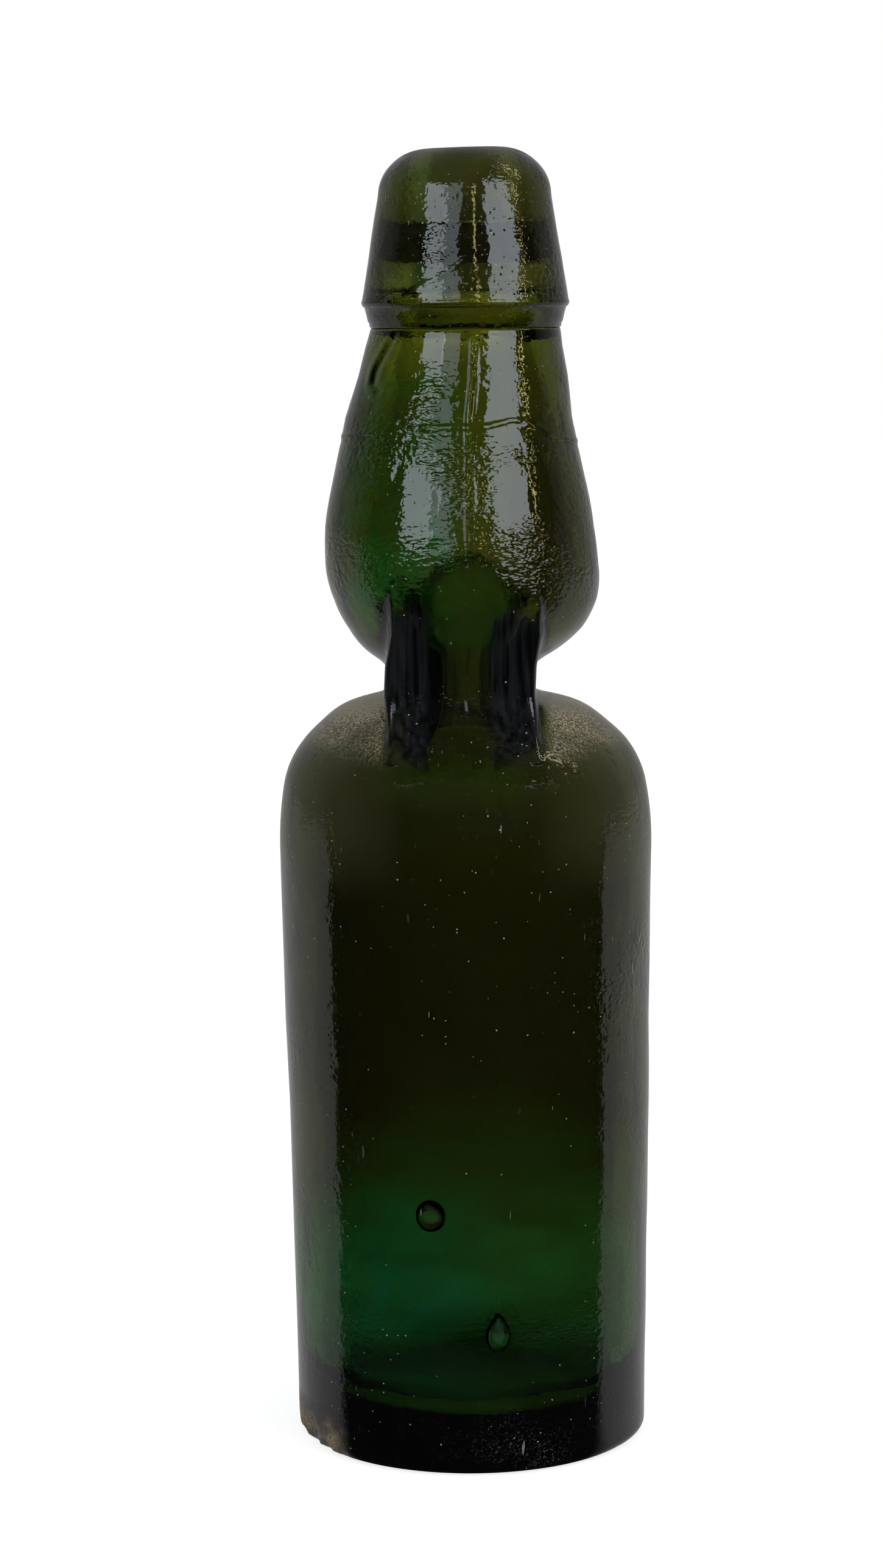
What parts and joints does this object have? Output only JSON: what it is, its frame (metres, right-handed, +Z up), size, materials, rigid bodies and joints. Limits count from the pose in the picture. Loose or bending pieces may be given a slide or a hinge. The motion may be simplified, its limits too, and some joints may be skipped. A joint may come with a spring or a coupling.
{
  "type": "marble stopper bottle",
  "caption": "Round blown glass bottle with a pinched neck, a pear-shaped marble chamber, an applied lip, a rubber ring and a loose glass marble as its stopper.",
  "frame": {"origin": "centre of the base, on the plane the bottle stands on", "axes": "+Z up along the bottle to the mouth; the neck is pinched from +X and -X, so its round front and back face -Y and +Y"},
  "size_m": [0.066, 0.066, 0.2286],
  "materials": {
    "bottle_glass": "dark olive and bottle green, rippled, with seed bubbles and a mould seam",
    "lip_glass": "olive green, tooled, pitted",
    "ring_rubber": "aged black rubber",
    "marble_glass": "pale green glass"
  },
  "bodies": {
    "bottle": {"bottle_body": "bottle_glass", "lip_collar": "lip_glass", "rubber_ring": "ring_rubber"},
    "stopper": {"marble": "marble_glass"}
  },
  "joints": [
    {"name": "marble_rise", "type": "slide", "parent": "bottle", "child": "stopper", "axis": [0, 0, 1], "range_m": [0, 0.0533]}
  ]
}
